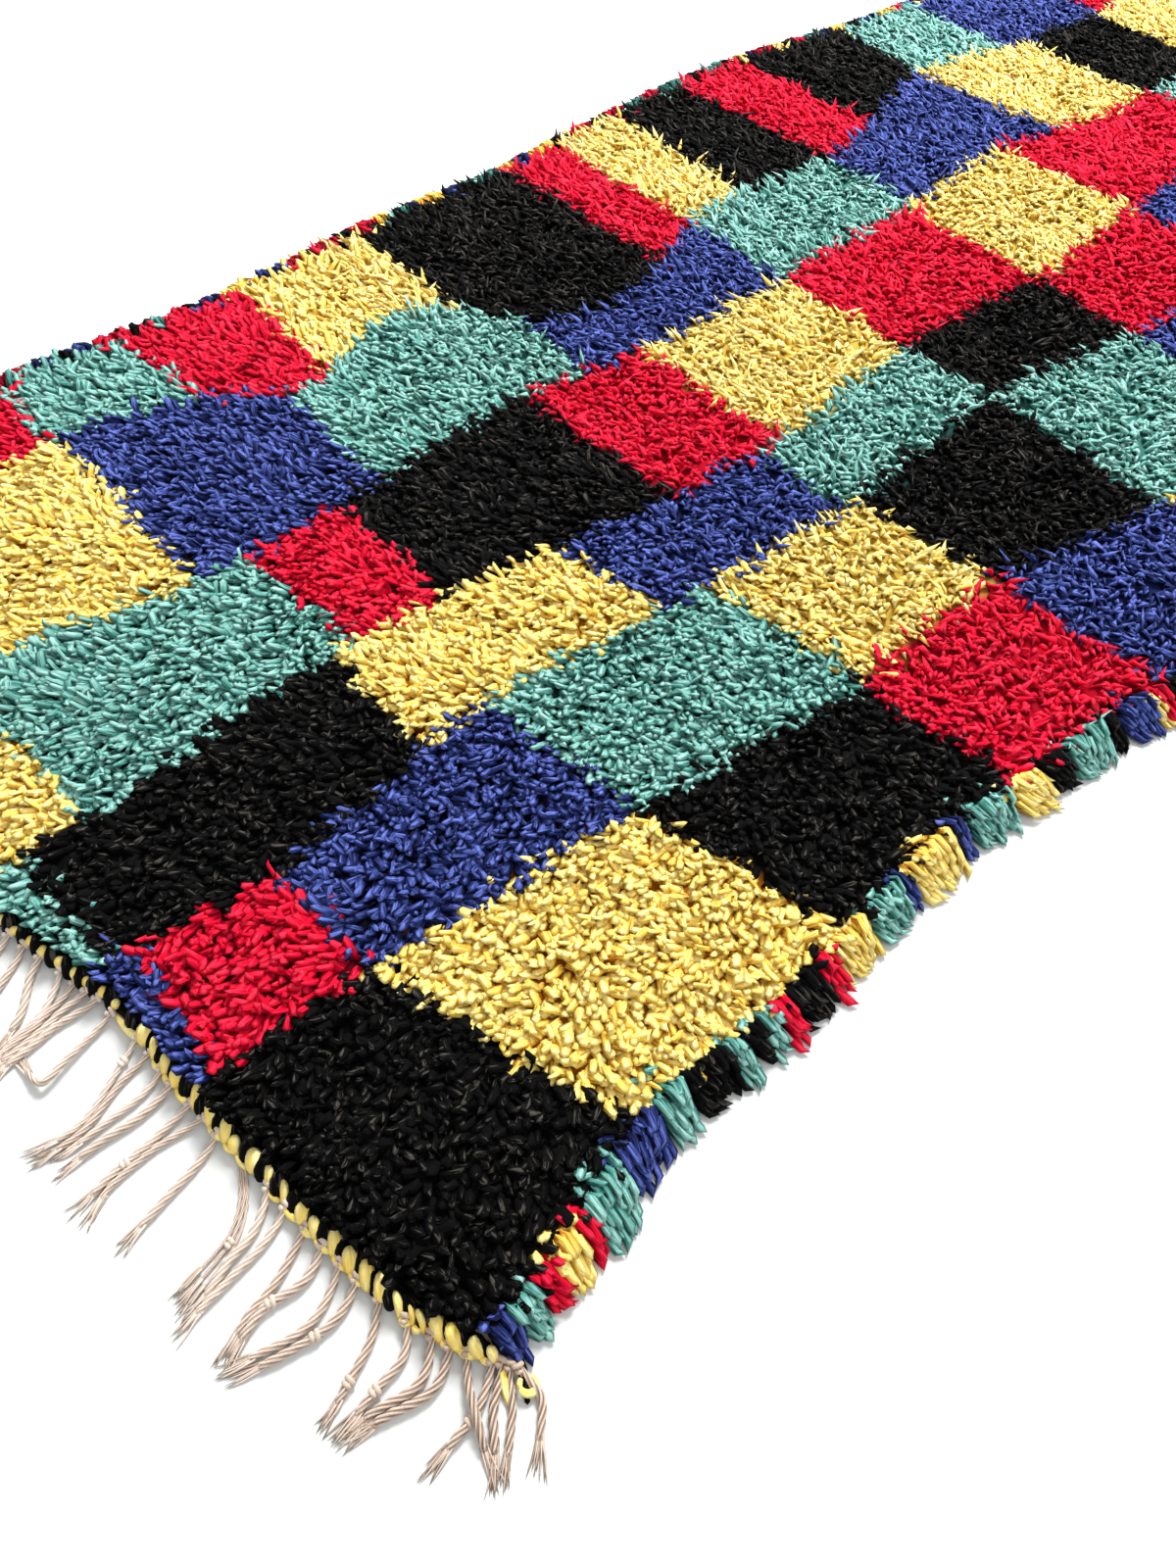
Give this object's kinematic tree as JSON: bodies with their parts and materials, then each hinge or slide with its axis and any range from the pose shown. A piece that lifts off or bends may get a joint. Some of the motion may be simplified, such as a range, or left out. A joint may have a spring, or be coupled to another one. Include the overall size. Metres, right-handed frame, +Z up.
{
  "type": "moroccan rug",
  "caption": "Long flat shag rug with thick knotted cotton pile in plain colour blocks, tufted selvedges, twined ends and a loose warp fringe at one end.",
  "frame": {"origin": "centre of the rug's bounding box in plan, at the floor", "axes": "+Z up, square to the rug; +Y along the rug's length, from the fringed end to the far end; +X across it"},
  "size_m": [1.3912, 2.9752, 0.0342],
  "materials": {
    "ground_cotton": "undyed plain weave, matt",
    "pile_cotton": "soft matt cotton tufts in blocks of black, red, yellow, teal and blue",
    "twined_cotton": "twined yellow and black cotton strands, matt",
    "warp_cotton": "undyed plied cotton warp, matt"
  },
  "bodies": {
    "root": {"ground_weave": "ground_cotton", "pile": "pile_cotton", "near_end_cord": "twined_cotton", "far_end_cord": "twined_cotton", "warp_fringe": "warp_cotton"}
  },
  "joints": []
}
